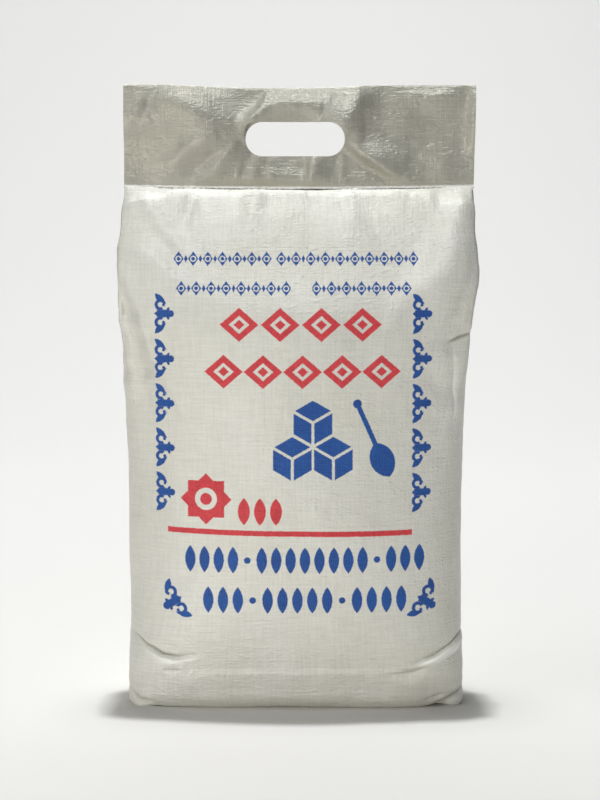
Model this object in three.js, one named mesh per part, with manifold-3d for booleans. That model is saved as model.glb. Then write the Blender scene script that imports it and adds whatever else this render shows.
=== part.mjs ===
// A filled ten kilogram sack of woven polypropylene tape, with side gussets. Its mouth is pressed
// flat, folded forward over itself and welded, which makes the header that the hand slot is cut in.
// Millimetres. +Z is up, +X is to the right of a person who faces the printed side, and the printed
// side looks along -Y. The sack stands on z = 0.

import * as THREE from 'three';
import { mergeVertices } from 'three/addons/utils/BufferGeometryUtils.js';
import Module from 'manifold-3d';

// ---- driving dimensions ----

const PANEL_WIDTH = 280; // flat width of the front and of the back panel
const GUSSET_WIDTH = 70; // flat width of each side gusset, from fold to fold
const SEAM_PINCH = 1.4; // the seam is this much narrower than the flat panel
const SEAM_HEIGHT = 408; // where the welded header starts, at the ends of the seam
const SEAM_SAG = 2.6; // how much lower the middle of the seam hangs
const HEADER_HEIGHT = 80;
const HEADER_FLARE = 1.6; // how much further right the header reaches at its top than at the seam
const TOP_DIP = 2.4; // dip of the header's top fold above the slot
const TOP_DIP_MIDDLE = -16; // where along the top it dips, and how far to either side
const TOP_DIP_REACH = 62;
const HEADER_BOW = 2.4; // the free header waves this far, front to back,
const HEADER_BOW_START = -30; // level with the seam's plane here,
const HEADER_BOW_REACH = 62; // and once in this many millimetres for each radian
const GAP = 0.3; // clearance between touching pieces

const BELLY_WIDTH = 267;
const BELLY_DEPTH = 150;
const BELLY_SQUARENESS = 2.3; // exponent of the belly's superellipse
const BASE_DEPTH = 120;
const BASE_SQUARENESS = 7; // the corners are folded under, which squares the base
const SHOULDER_HEIGHT = 342; // the widest place, where the panel folds stand out as ears
const SHOULDER_DEPTH = 102; // from the front of the panel to the back, in the middle
const SEAM_THICKNESS = 4.6; // the layers that are pressed together at the seam

const FULL_UP_TO = 130; // below this height a section is wholly full
const LEAN_FROM = 200; // above this height the body comes back in line with the header
const HEADER_SETBACK = 8; // the seam stands behind the middle of the base
const SHOULDER_LEAD = 8; // and the shoulders stand before it
const BODY_LEAN = 2.5; // the filled part stands this far to the left of the header

const BASE_ROLL_MIDDLE = 15; // radius of the rolled edge under the middle of a panel
const BASE_ROLL_SIDE = 10; // under the gussets
const BASE_ROLL_CORNER = 6; // and at the four tucked corners

const SLOT_LENGTH = 79;
const SLOT_HEIGHT = 27;
const SLOT_OFFSET = -3; // the slot's middle is a little to the left
const SLOT_ABOVE_SEAM = 37; // from the ends' seam height to the slot's middle
const DIE_DEPTH = 60; // the punch that cuts the slot reaches well past both faces

const FLAP_THICKNESS = 1.4; // the front layer, which is folded down over the header's front
const PANEL_THICKNESS = 2.6; // the layers behind it

// ---- fineness ----

const PANEL_STEPS = 32; // around the section, over each panel
const GUSSET_STEPS = 8;
const RING_COUNT = 42;
const RING_CROWDING = 0.13; // how much closer the rings stand at the base and under the seam
const HEADER_COLUMNS = 50;
const HEADER_ROWS = 12;
const SLOT_ARC_STEPS = 14;

// ---- small maths ----

const lerp = THREE.MathUtils.lerp;

const ease = THREE.MathUtils.smoothstep; // from 0 to 1 as its first value passes the other two

// A smooth curve through [height, size] stations.
function stationCurve(stations) {
  const curve = new THREE.CubicInterpolant(
    stations.map(([height]) => height),
    stations.map(([, size]) => size),
    1,
  );
  return (height) => curve.evaluate(height)[0];
}

// A fold is a soft ridge of cloth along a straight line. Its height falls away to both sides as a
// bell curve, and towards its far end.
function ridge(x, z, fold) {
  const [startX, startZ] = fold.from;
  const alongX = fold.to[0] - startX;
  const alongZ = fold.to[1] - startZ;
  const length = Math.hypot(alongX, alongZ);
  const along = ((x - startX) * alongX + (z - startZ) * alongZ) / length;
  const across = ((x - startX) * alongZ - (z - startZ) * alongX) / length;
  const beyond = Math.max(0, -along, along - length);
  const reach = Math.hypot(across, beyond) / fold.width;
  return fold.height * Math.exp(-reach * reach);
}

// ---- the filled body ----

// How far the body's outline reaches from its middle, on the left and on the right. The right
// shoulder stands out as a sharper ear than the left one.
const leftReachAt = stationCurve([
  [0, BELLY_WIDTH / 2],
  [90, BELLY_WIDTH / 2],
  [170, BELLY_WIDTH / 2 + 1],
  [236, BELLY_WIDTH / 2 + 2.8],
  [285, PANEL_WIDTH / 2 - 1.2],
  [SHOULDER_HEIGHT, PANEL_WIDTH / 2 + 1],
  [375, PANEL_WIDTH / 2 + 0.2],
  [SEAM_HEIGHT, (PANEL_WIDTH - SEAM_PINCH) / 2],
]);
const rightReachAt = stationCurve([
  [0, BELLY_WIDTH / 2],
  [90, BELLY_WIDTH / 2],
  [170, BELLY_WIDTH / 2],
  [236, BELLY_WIDTH / 2 + 1],
  [285, PANEL_WIDTH / 2 - 3.6],
  [320, PANEL_WIDTH / 2 - 2.4],
  [SHOULDER_HEIGHT, PANEL_WIDTH / 2 + 0.6],
  [366, PANEL_WIDTH / 2 - 2.4],
  [SEAM_HEIGHT, (PANEL_WIDTH - SEAM_PINCH) / 2],
]);

// Distance from the body's middle plane to the panel, half way across it.
const halfDepthAt = stationCurve([
  [0, BASE_DEPTH / 2],
  [20, BASE_DEPTH / 2 + 5],
  [60, BELLY_DEPTH / 2 - 3],
  [110, BELLY_DEPTH / 2],
  [180, BELLY_DEPTH / 2 - 1],
  [250, BELLY_DEPTH / 2 - 6],
  [290, BELLY_DEPTH / 2 - 10.5],
  [320, BELLY_DEPTH / 2 - 16.5],
  [SHOULDER_HEIGHT, SHOULDER_DEPTH / 2],
  [360, SHOULDER_DEPTH / 2 - 9.5],
  [378, SHOULDER_DEPTH / 2 - 22.5],
  [393, SHOULDER_DEPTH / 2 - 35.5],
  [SEAM_HEIGHT, SEAM_THICKNESS / 2],
]);

// How square a full section is: it has folded corners at the base and round ones in the belly.
const squarenessAt = stationCurve([
  [0, BASE_SQUARENESS],
  [20, BASE_SQUARENESS - 1.5],
  [45, BELLY_SQUARENESS + 1.4],
  [85, BELLY_SQUARENESS + 0.3],
  [130, BELLY_SQUARENESS],
  [SEAM_HEIGHT, BELLY_SQUARENESS],
]);

// Distance from the middle plane to the fold between a panel and its gussets.
const foldDepthAt = stationCurve([
  [0, GUSSET_WIDTH / 2],
  [300, GUSSET_WIDTH / 2],
  [SHOULDER_HEIGHT, GUSSET_WIDTH / 2 - 3],
  [375, GUSSET_WIDTH / 2 - 14],
  [395, GUSSET_WIDTH / 2 - 26],
  [SEAM_HEIGHT, SEAM_THICKNESS / 2],
]);

// How far the gusset's middle is tucked in between the panels.
const gussetTuckAt = stationCurve([
  [0, 0],
  [240, 0],
  [300, 3],
  [SHOULDER_HEIGHT, 9],
  [375, 21],
  [394, 17],
  [SEAM_HEIGHT, 0],
]);

// Where the body's middle plane stands, front to back.
const middleAt = stationCurve([
  [0, 0],
  [180, -SHOULDER_LEAD / 3],
  [SHOULDER_HEIGHT, -SHOULDER_LEAD],
  [375, -SHOULDER_LEAD / 2],
  [SEAM_HEIGHT, HEADER_SETBACK],
]);

// Soft folds of the front and back panel, in x and z: the facets that run in from the ends of the
// seam, the puckers that hang from it, and the creases over the bottom corners.
const BODY_FOLDS = [
  { from: [-132, 398], to: [-104, 322], width: 12, height: 3.2 },
  { from: [134, 398], to: [106, 330], width: 12, height: 3.6 },
  { from: [-80, 398], to: [-72, 372], width: 9, height: 2.2 },
  { from: [-34, 396], to: [-40, 366], width: 10, height: 2 },
  { from: [6, 396], to: [12, 368], width: 10, height: -2 },
  { from: [36, 398], to: [40, 372], width: 9, height: 2.2 },
  { from: [-131, 60], to: [-84, 38], width: 5, height: -2 },
  { from: [131, 58], to: [96, 38], width: 5, height: -2 },
];

const FOLD_FREE_EDGE = 0.1; // share of the half panel beside its edge fold where these fade out

function panelFolds(x, z, across) {
  const sum = BODY_FOLDS.reduce((total, fold) => total + ridge(x, z, fold), 0);
  return sum * ease(1 - Math.abs(across), 0, FOLD_FREE_EDGE);
}

function seamHeightAt(x) {
  return SEAM_HEIGHT - SEAM_SAG * (1 - (2 * x / PANEL_WIDTH) ** 2);
}

const TUCK_ROUNDNESS = 1.5; // 1 is a sharp V between the panels, 2 a round trough

// Half of a full section's panel, from its middle to its fold, along a superellipse.
class PanelHalf extends THREE.Curve {
  constructor({ width, halfDepth, foldDepth, squareness }) {
    super();
    this.width = width;
    this.halfDepth = halfDepth;
    this.power = squareness;
    const foldX = width * (1 - (foldDepth / halfDepth) ** squareness) ** (1 / squareness);
    this.foldAngle = Math.atan2(foldDepth, foldX);
  }

  getPoint(t) {
    const angle = lerp(Math.PI / 2, this.foldAngle, t);
    const [cos, sin] = [Math.cos(angle), Math.sin(angle)];
    const sum = (cos / this.width) ** this.power + (sin / this.halfDepth) ** this.power;
    const reach = sum ** (-1 / this.power);
    return new THREE.Vector2(reach * cos, reach * sin);
  }
}

// The two shapes that a section blends between: a pressed one with crisp folds and tucked gussets
// near the seam, and a full one in the belly. Both are a quarter, for x and y above zero. The
// number across runs from 0 in the middle of a panel or gusset to 1 at the fold between them.
function pressedQuarter(station, onPanel, across) {
  const { width, halfDepth, foldDepth, tuck } = station;
  if (onPanel) {
    return [width * across, lerp(halfDepth, foldDepth, across * across)];
  }
  return [width - tuck * (1 - across ** TUCK_ROUNDNESS), foldDepth * across];
}

function fullQuarter(station, onPanel, across) {
  if (onPanel) {
    const { x, y } = station.panelHalf.getPointAt(across);
    return [x, y];
  }
  const { width, halfDepth, foldDepth, squareness } = station;
  const y = foldDepth * across;
  return [width * (1 - (y / halfDepth) ** squareness) ** (1 / squareness), y];
}

// The four sides in order, seen from above and counter-clockwise from the front left fold.
const SIDES = [
  { panel: true, facing: -1, steps: PANEL_STEPS, start: -1, end: 1 },
  { panel: false, facing: 1, steps: GUSSET_STEPS, start: -1, end: 1 },
  { panel: true, facing: 1, steps: PANEL_STEPS, start: 1, end: -1 },
  { panel: false, facing: -1, steps: GUSSET_STEPS, start: 1, end: -1 },
];

function baseRoll(side, across) {
  const middle = side.panel ? BASE_ROLL_MIDDLE : BASE_ROLL_SIDE;
  return lerp(middle, BASE_ROLL_CORNER, Math.abs(across) ** 3);
}

// Everything that a section needs at one height, with a nominal half width.
function stationAt(height) {
  const station = {
    width: BELLY_WIDTH / 2,
    halfDepth: halfDepthAt(height),
    foldDepth: foldDepthAt(height),
    squareness: squarenessAt(height),
    tuck: gussetTuckAt(height),
  };
  station.panelHalf = new PanelHalf(station);
  return station;
}

function sectionPoint(station, fullness, side, across) {
  const pressed = pressedQuarter(station, side.panel, Math.abs(across));
  const full = fullness > 0 ? fullQuarter(station, side.panel, Math.abs(across)) : pressed;
  const x = lerp(pressed[0], full[0], fullness);
  const y = lerp(pressed[1], full[1], fullness);
  const hand = Math.sign(across);
  return side.panel ? [x * hand, y * side.facing] : [x * side.facing, y * hand];
}

function bodyRing(height) {
  const station = stationAt(height);
  const fullness = 1 - ease(height, FULL_UP_TO, SHOULDER_HEIGHT);
  const lean = BODY_LEAN * (1 - ease(height, LEAN_FROM, SEAM_HEIGHT));
  const section = [];
  for (const side of SIDES) {
    for (let step = 0; step < side.steps; step += 1) {
      const across = lerp(side.start, side.end, step / side.steps);
      section.push([side, across, ...sectionPoint(station, fullness, side, across)]);
    }
  }
  const widest = Math.max(...section.map(([, , x]) => x));
  return section.map(([side, across, x, y]) => {
    const reach = x > 0 ? rightReachAt(height) : leftReachAt(height);
    const wide = x * reach / widest;
    const roll = baseRoll(side, across);
    const short = Math.max(0, roll - height);
    const shrink = 1 - (roll - Math.sqrt(roll * roll - short * short)) / Math.hypot(wide, y);
    const fold = side.panel ? side.facing * panelFolds(wide, height, across) : 0;
    const sag = (SEAM_HEIGHT - seamHeightAt(wide)) * ease(height, SHOULDER_HEIGHT, SEAM_HEIGHT);
    return new THREE.Vector3(
      wide * shrink - lean,
      (y + fold) * shrink + middleAt(height),
      height - sag,
    );
  });
}

// Ring heights are close together where the base rolls under and where the shoulders slope in.
function ringHeights() {
  const heights = [];
  for (let ring = 0; ring < RING_COUNT; ring += 1) {
    const t = ring / (RING_COUNT - 1);
    heights.push(SEAM_HEIGHT * (t - RING_CROWDING * Math.sin(2 * Math.PI * t)));
  }
  return heights;
}

function bodyGeometry() {
  const leftValley = 2 * PANEL_STEPS + 1.5 * GUSSET_STEPS;
  return skinGeometry(ringHeights().map(bodyRing), leftValley, leftValley);
}

// Closes the end of a skin with a ladder of quads between the ring's front and its back. The first
// rung joins the points first and last, which may be one and the same.
function ladderFaces(count, first, last) {
  const faces = [];
  let front = first % count;
  let back = last % count;
  while ((front + 1) % count !== back) {
    const nextFront = (front + 1) % count;
    const nextBack = (back - 1 + count) % count;
    if (front !== back) {
      faces.push([front, nextFront, back]);
    }
    if (nextFront !== nextBack) {
      faces.push([nextFront, nextBack, back]);
    }
    front = nextFront;
    back = nextBack;
    if (front === back) {
      break;
    }
  }
  return faces;
}

// A closed skin over a stack of rings, which run counter-clockwise seen from above.
function skinGeometry(rings, first, last) {
  const count = rings[0].length;
  const faces = [];
  for (let ring = 0; ring + 1 < rings.length; ring += 1) {
    for (let step = 0; step < count; step += 1) {
      const here = ring * count + step;
      const next = ring * count + (step + 1) % count;
      // The quads of the back are split along the same diagonal as those of the front before them.
      if (step < count / 2) {
        faces.push(here, next, next + count, here, next + count, here + count);
      } else {
        faces.push(here, next, here + count, next, next + count, here + count);
      }
    }
  }
  const top = (rings.length - 1) * count;
  for (const [a, b, c] of ladderFaces(count, first, last)) {
    faces.push(c, b, a);
    faces.push(top + a, top + b, top + c);
  }
  const geometry = new THREE.BufferGeometry().setFromPoints(rings.flat());
  geometry.setIndex(faces);
  return geometry;
}

// ---- the header ----

function topHeightAt(x) {
  const dip = Math.exp(-(((x - TOP_DIP_MIDDLE) / TOP_DIP_REACH) ** 4));
  return SEAM_HEIGHT + HEADER_HEIGHT - TOP_DIP * dip;
}

// The header's own folds: the strip over the slot bellies forward, and pleats fan out below it.
const HEADER_FOLDS = [
  { from: [-34, 476], to: [22, 474], width: 9, height: 3.4 },
  { from: [-60, 487], to: [-90, 484], width: 16, height: -2.6 },
  { from: [-42, 446], to: [-74, 412], width: 8, height: 2.2 },
  { from: [-30, 426], to: [-40, 411], width: 6, height: 1.6 },
  { from: [10, 428], to: [6, 411], width: 7, height: 1.8 },
  { from: [38, 446], to: [70, 424], width: 9, height: 2 },
  { from: [44, 470], to: [40, 452], width: 8, height: 1.6 },
];

const FOLD_START = 4; // the folds rise from this far below the seam
const FOLD_END = 14; // to their full height this far above it

// Where the header's middle surface stands, front to back. It is pressed flat at the seam.
function headerMiddle(x, z) {
  const wave = Math.sin((x - HEADER_BOW_START) / HEADER_BOW_REACH);
  const bow = HEADER_BOW * wave * ease(z, SEAM_HEIGHT, SEAM_HEIGHT + HEADER_HEIGHT);
  const folds = HEADER_FOLDS.reduce((sum, fold) => sum + ridge(x, z, fold), 0);
  return HEADER_SETBACK + bow - folds * ease(z, SEAM_HEIGHT - FOLD_START, SEAM_HEIGHT + FOLD_END);
}

// A wavy sheet between two distances from the header's middle surface, closed round its edges.
function sheetGeometry(frontOffset, backOffset) {
  const sheetHalf = (PANEL_WIDTH - SEAM_PINCH) / 2;
  const rings = [];
  for (let row = 0; row <= HEADER_ROWS; row += 1) {
    const front = [];
    const back = [];
    for (let column = 0; column <= HEADER_COLUMNS; column += 1) {
      const flare = HEADER_FLARE * row / HEADER_ROWS;
      const x = lerp(-sheetHalf, sheetHalf + flare, column / HEADER_COLUMNS);
      const z = lerp(seamHeightAt(x) + GAP, topHeightAt(x), row / HEADER_ROWS);
      const middle = headerMiddle(x, z);
      front.push(new THREE.Vector3(x, middle + frontOffset, z));
      back.unshift(new THREE.Vector3(x, middle + backOffset, z));
    }
    rings.push([...front, ...back]);
  }
  return skinGeometry(rings, 0, rings[0].length - 1);
}

// The die that punches the hand slot: a bar with round ends.
function slotDie() {
  const radius = SLOT_HEIGHT / 2;
  const reach = SLOT_LENGTH / 2 - radius;
  const outline = new THREE.Shape();
  outline.absarc(reach, 0, radius, -Math.PI / 2, Math.PI / 2, false);
  outline.absarc(-reach, 0, radius, Math.PI / 2, Math.PI * 1.5, false);
  const options = { depth: DIE_DEPTH, bevelEnabled: false, curveSegments: SLOT_ARC_STEPS };
  const die = new THREE.ExtrudeGeometry(outline, options);
  die.rotateX(Math.PI / 2);
  die.translate(SLOT_OFFSET, HEADER_SETBACK + DIE_DEPTH / 2, SEAM_HEIGHT + SLOT_ABOVE_SEAM);
  return die;
}

// ---- cutting ----

const wasm = await Module();
wasm.setup();

function toManifold(geometry) {
  const bare = geometry.clone();
  bare.deleteAttribute('normal');
  bare.deleteAttribute('uv');
  const merged = mergeVertices(bare);
  return new wasm.Manifold(new wasm.Mesh({
    numProp: 3,
    vertProperties: new Float32Array(merged.attributes.position.array),
    triVerts: new Uint32Array(merged.index.array),
  }));
}

function subtract(geometry, cutter) {
  const mesh = toManifold(geometry).subtract(toManifold(cutter)).getMesh();
  const result = new THREE.BufferGeometry();
  result.setAttribute('position', new THREE.BufferAttribute(mesh.vertProperties, 3));
  result.setIndex(new THREE.BufferAttribute(mesh.triVerts, 1));
  return result;
}

// ---- materials and assembly ----

const filledWeave = new THREE.MeshStandardMaterial({ color: 0xd6d4c8, roughness: 0.45, metalness: 0 });
const emptyWeave = new THREE.MeshStandardMaterial({ color: 0xb4b1a2, roughness: 0.45, metalness: 0 });

function piece(name, geometry, material) {
  geometry.computeVertexNormals();
  const mesh = new THREE.Mesh(geometry, material);
  mesh.name = name;
  return mesh;
}

// The flap and the layers behind it stand on the seam, half of their thickness to each side.
const flapFront = -(FLAP_THICKNESS + GAP + PANEL_THICKNESS) / 2;
const flapBack = flapFront + FLAP_THICKNESS;
const panelFront = flapBack + GAP;
const panelBack = panelFront + PANEL_THICKNESS;
const die = slotDie();

const sack = new THREE.Group();
sack.add(piece('sack_body', bodyGeometry(), filledWeave));
sack.add(piece('header_panel', subtract(sheetGeometry(panelFront, panelBack), die), emptyWeave));
sack.add(piece('header_flap', subtract(sheetGeometry(flapFront, flapBack), die), emptyWeave));

// The part's origin is under the middle of its box, on the ground.
const box = new THREE.Box3().setFromObject(sack);
const middle = box.getCenter(new THREE.Vector3());
sack.position.set(-middle.x, -middle.y, -box.min.z);
sack.updateMatrixWorld(true);

export default sack;
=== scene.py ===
import math
import bmesh
import bpy
import numpy as np
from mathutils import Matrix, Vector


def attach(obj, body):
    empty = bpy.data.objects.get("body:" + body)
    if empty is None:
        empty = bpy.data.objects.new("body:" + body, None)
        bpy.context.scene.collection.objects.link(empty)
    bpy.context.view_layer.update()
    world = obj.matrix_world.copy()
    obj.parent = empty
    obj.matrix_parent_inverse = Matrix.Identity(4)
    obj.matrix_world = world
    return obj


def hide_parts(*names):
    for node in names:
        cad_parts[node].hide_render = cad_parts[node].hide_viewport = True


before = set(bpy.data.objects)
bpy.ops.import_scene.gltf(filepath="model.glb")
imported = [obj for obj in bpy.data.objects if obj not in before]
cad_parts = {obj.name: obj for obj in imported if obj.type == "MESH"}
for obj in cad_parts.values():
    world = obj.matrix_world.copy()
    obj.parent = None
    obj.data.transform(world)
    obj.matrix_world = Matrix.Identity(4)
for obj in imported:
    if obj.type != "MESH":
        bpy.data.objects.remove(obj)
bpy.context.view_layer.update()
scene = bpy.context.scene
scene.view_settings.view_transform = "Standard"


# ---- the camera ----
# The photograph was taken from straight in front with a long lens, level with the shoulders of the
# sack and tipped a little down.
EYE = (0.0013, -1.692, 0.400)
TIPPED_DOWN = 5.5
LENS = 95.36

bpy.ops.object.camera_add(location=EYE, rotation=(math.radians(90 - TIPPED_DOWN), 0, 0))
camera = bpy.context.object
camera.data.lens = LENS
scene.camera = camera


# ---- the filled sack ----
# One tube of woven polypropylene tape under a clear film, with a gusset in each side. The bottom is
# folded square and the sugar fills the tube tight, so only the corners and shoulders crease.
CLOTH_LEVELS = 2


def drop_all():
    if bpy.context.object and bpy.context.object.mode != "OBJECT":
        bpy.ops.object.mode_set(mode="OBJECT")
    bpy.ops.object.select_all(action="DESELECT")


def take(piece):
    """Makes this the one piece that the next operators work on."""
    drop_all()
    piece.select_set(True)
    bpy.context.view_layer.objects.active = piece


def open_up(piece):
    """Puts a piece in edit mode with nothing selected."""
    take(piece)
    bpy.ops.object.mode_set(mode="EDIT")
    bpy.ops.mesh.select_mode(type="FACE")
    bpy.ops.mesh.select_all(action="DESELECT")


def pick(piece, kind, test):
    """Selects the vertices, edges or faces of a piece in edit mode that pass a test."""
    mesh = bmesh.from_edit_mesh(piece.data)
    bpy.ops.mesh.select_mode(type=kind)
    bpy.ops.mesh.select_all(action="DESELECT")
    parts = {"VERT": mesh.verts, "EDGE": mesh.edges, "FACE": mesh.faces}[kind]
    for part in parts:
        if test(part):
            part.select_set(True)
    mesh.select_flush_mode()
    bmesh.update_edit_mesh(piece.data)


def finish_with(piece, kind, **settings):
    """Adds a modifier to a piece and applies it."""
    take(piece)
    modifier = piece.modifiers.new(kind.title(), kind)
    for name, value in settings.items():
        setattr(modifier, name, value)
    bpy.ops.object.modifier_apply(modifier=modifier.name)


def points_of(piece):
    points = np.empty(len(piece.data.vertices) * 3)
    piece.data.vertices.foreach_get("co", points)
    return points.reshape(-1, 3)


def normals_of(piece):
    normals = np.empty(len(piece.data.vertices) * 3)
    piece.data.vertex_normals.foreach_get("vector", normals)
    return normals.reshape(-1, 3)


def move_points(piece, points):
    piece.data.vertices.foreach_set("co", points.ravel())
    piece.data.update()


sack_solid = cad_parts["sack_body"]
sack_skin = bpy.data.objects.new("sack_skin", sack_solid.data.copy())
scene.collection.objects.link(sack_skin)
sack_skin.data.materials.clear()
while sack_skin.data.uv_layers:
    sack_skin.data.uv_layers.remove(sack_skin.data.uv_layers[0])
sack_skin.data.uv_layers.new(name="cloth")

open_up(sack_skin)
bpy.ops.mesh.select_all(action="SELECT")
bpy.ops.mesh.remove_doubles(threshold=1e-5)
bpy.ops.mesh.tris_convert_to_quads(
    face_threshold=math.pi, shape_threshold=math.pi, topology_influence=1.0
)

# The tube is opened along the middle of its back and laid flat, which gives every place its
# distance along the tapes in metres.
BACK_MIDDLE = -0.001
BEHIND = 0.005
NEAR = 0.002
FRONT_MIDDLE = 0.2
pick(sack_skin, "EDGE", lambda e: all(
    v.co.y > BEHIND and abs(v.co.x - BACK_MIDDLE) < NEAR for v in e.verts
))
bpy.ops.mesh.mark_seam()


def is_wall(face):
    """Whether a face is neither the level top and bottom nor part of the rest on the floor."""
    return abs(face.normal.z) < 0.985 and face.calc_center_median().z > 0.0005


def off_middle(face):
    """How far a face is from the middle of the front."""
    middle = face.calc_center_median()
    return abs(middle.x) + abs(middle.z - FRONT_MIDDLE)


pick(sack_skin, "FACE", is_wall)
cloth = bmesh.from_edit_mesh(sack_skin.data)
flat = cloth.loops.layers.uv["cloth"]
for face in cloth.faces:
    for loop in face.loops:
        loop[flat].uv = loop.vert.co.xy
        loop[flat].select = loop[flat].select_edge = face.select
starts = [
    face for face in cloth.faces
    if face.select and face.normal.y < -0.9 and face.calc_center_median().x > -NEAR
]
first = min(starts, key=off_middle)
for loop in first.loops:
    loop[flat].uv = (loop.vert.co.x, loop.vert.co.z)
cloth.faces.active = first
bmesh.update_edit_mesh(sack_skin.data)
bpy.ops.uv.follow_active_quads(mode="LENGTH_AVERAGE")

# The folds between the panels and the gussets stay crisp where nothing fills them, and the mouth
# keeps its outline at the seam.
FOLD_ANGLE = 0.6
FOLDS_FROM = 0.25
FOLD_CREASE = 0.45
MOUTH = 0.404


def is_fold(edge):
    low, high = sorted(edge.verts, key=lambda v: v.co.z)
    rise = high.co.z - low.co.z
    upright = rise > 0.7 * (high.co - low.co).length
    return upright and low.co.z > FOLDS_FROM and edge.calc_face_angle(0) > FOLD_ANGLE


pick(sack_skin, "EDGE", is_fold)
bpy.ops.transform.edge_crease(value=FOLD_CREASE)
pick(sack_skin, "FACE", lambda f: f.normal.z > 0.9 and f.calc_center_median().z > MOUTH)
bpy.ops.mesh.region_to_loop()
bpy.ops.transform.edge_crease(value=1)
finish_with(sack_skin, "SUBSURF", levels=CLOTH_LEVELS, render_levels=CLOTH_LEVELS)


# Folds are lines of x and z in millimetres. Each stands out by its height, or sinks in where that
# is negative, and falls away within one width above its line and another below it.
TIGHT_WIDTH = 4
TIGHT_PROFILE = 1.25
SOFT_PROFILE = 2.0
END_FADE = 0.6


def line_reach(points, line):
    """How far each point is above a bent line, in x and z, and how far along it, from 0 to 1.
    Above a line that runs straight up is its left."""
    x, z = points[:, 0] * 1000, points[:, 2] * 1000
    spans = [math.dist(a, b) for a, b in zip(line, line[1:])]
    nearest = np.full(len(points), 1e9)
    above = np.zeros(len(points))
    along = np.zeros(len(points))
    passed = 0
    for (ax, az), (bx, bz), span in zip(line, line[1:], spans):
        ux, uz = (bx - ax) / span, (bz - az) / span
        t = np.clip((x - ax) * ux + (z - az) * uz, 0, span)
        gap = np.hypot(x - ax - t * ux, z - az - t * uz)
        side = np.where((z - az) * ux - (x - ax) * uz < 0, -1.0, 1.0)
        closer = gap < nearest
        nearest = np.where(closer, gap, nearest)
        above = np.where(closer, gap * side, above)
        along = np.where(closer, (passed + t) / sum(spans), along)
        passed += span
    return above, along


def fold_heights(points, folds):
    """The height of the folds at each point, in metres."""
    total = np.zeros(len(points))
    for line, height, width_above, width_below in folds:
        above, along = line_reach(points, line)
        width = np.where(above > 0, width_above, width_below)
        tight = min(width_above, width_below) < TIGHT_WIDTH
        profile = TIGHT_PROFILE if tight else SOFT_PROFILE
        fade = np.sin(np.pi * np.clip(along, 0.02, 0.98)) ** END_FADE
        total += height * fade * np.exp(-((np.abs(above) / width) ** profile))
    return total * 0.001


BROAD_FOLDS = [
    # the shoulder runs straight from the seam to the full belly
    ([(-116, 394), (0, 396), (116, 394)], 6.0, 7, 30),
    ([(-112, 350), (0, 352), (112, 350)], -3.5, 18, 22),
    ([(-110, 300), (0, 298), (110, 300)], 3.0, 24, 60),
    # the cloth stands off the seam at both ends of it
    ([(-143, 397), (-129, 391), (-99, 394), (-80, 407)], 4.6, 6, 12),
    ([(64, 404), (80, 395), (104, 390), (126, 387), (142, 394)], 3.8, 7, 12),
    # the right edge fold runs in from the seam, and a fuller one ends at the gusset outside it
    ([(60, 270), (72, 296), (84, 321), (94, 328), (106, 341), (115, 361), (126, 380), (141, 406)],
     3.4, 12, 24),
    ([(98, 288), (114, 312), (125, 338), (131, 374)], 4.6, 20, 8),
    ([(139, 348), (133, 320), (126, 298)], 2.0, 5, 8),
    # the left edge fold does the same lower down
    ([(-142, 353), (-131, 327), (-122, 306), (-114, 276), (-96, 247), (-84, 222)], 5.2, 15, 3.8),
    ([(-142, 330), (-134, 300), (-127, 275), (-116, 236)], -5.0, 7, 10),
    ([(-128, 400), (-108, 376), (-95, 363), (-84, 350)], 3.2, 7, 5),
    ([(-143, 361), (-113, 351), (-97, 337), (-86, 323)], 3.0, 7, 5),
    # puckers that hang from the seam
    ([(-77, 407), (-85, 385), (-92, 374)], -2.4, 3.6, 6),
    ([(-36, 410), (-35, 392), (-40, 372)], 1.4, 6, 6),
    ([(32, 410), (35, 390), (31, 372)], -1.6, 5, 6),
    # soft wrinkles across the left gusset and under the right shoulder
    ([(-143, 314), (-131, 312), (-119, 306)], -3.0, 3.6, 6),
    ([(-143, 303), (-131, 302), (-116, 297)], 2.0, 4, 5),
    ([(-142, 292), (-131, 291), (-116, 288)], -2.6, 3.6, 6),
    ([(-142, 281), (-131, 279), (-112, 276)], -2.4, 3.6, 5),
    ([(-141, 266), (-131, 265), (-108, 268)], -3.0, 3.6, 6),
    ([(-140, 254), (-128, 254), (-108, 260)], 2.2, 5, 6),
    ([(96, 262), (112, 252), (130, 254)], -1.8, 5, 9),
    ([(100, 284), (115, 274), (130, 276)], 1.4, 5, 8),
    ([(104, 238), (118, 234), (130, 238)], 1.2, 6, 8),
    # the bottom corners
    ([(-134, 40), (-112, 33), (-86, 30)], 1.6, 9, 9),
    ([(134, 36), (112, 28), (84, 22)], 1.8, 9, 9),
]
PUCKERS = 34
PUCKERS_TO = 134
PUCKER_TOP = 411
draw = np.random.default_rng(11)
for place in np.linspace(-PUCKERS_TO, PUCKERS_TO, PUCKERS):
    top = (place + draw.uniform(-4, 4), PUCKER_TOP)
    foot = (top[0] + draw.uniform(-9, 9), PUCKER_TOP - draw.uniform(12, 34))
    height = draw.uniform(-1.1, 1.1)
    widths = [draw.uniform(2.5, 5) for _ in range(2)]
    BROAD_FOLDS.append(([top, foot], height, *widths))
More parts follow.
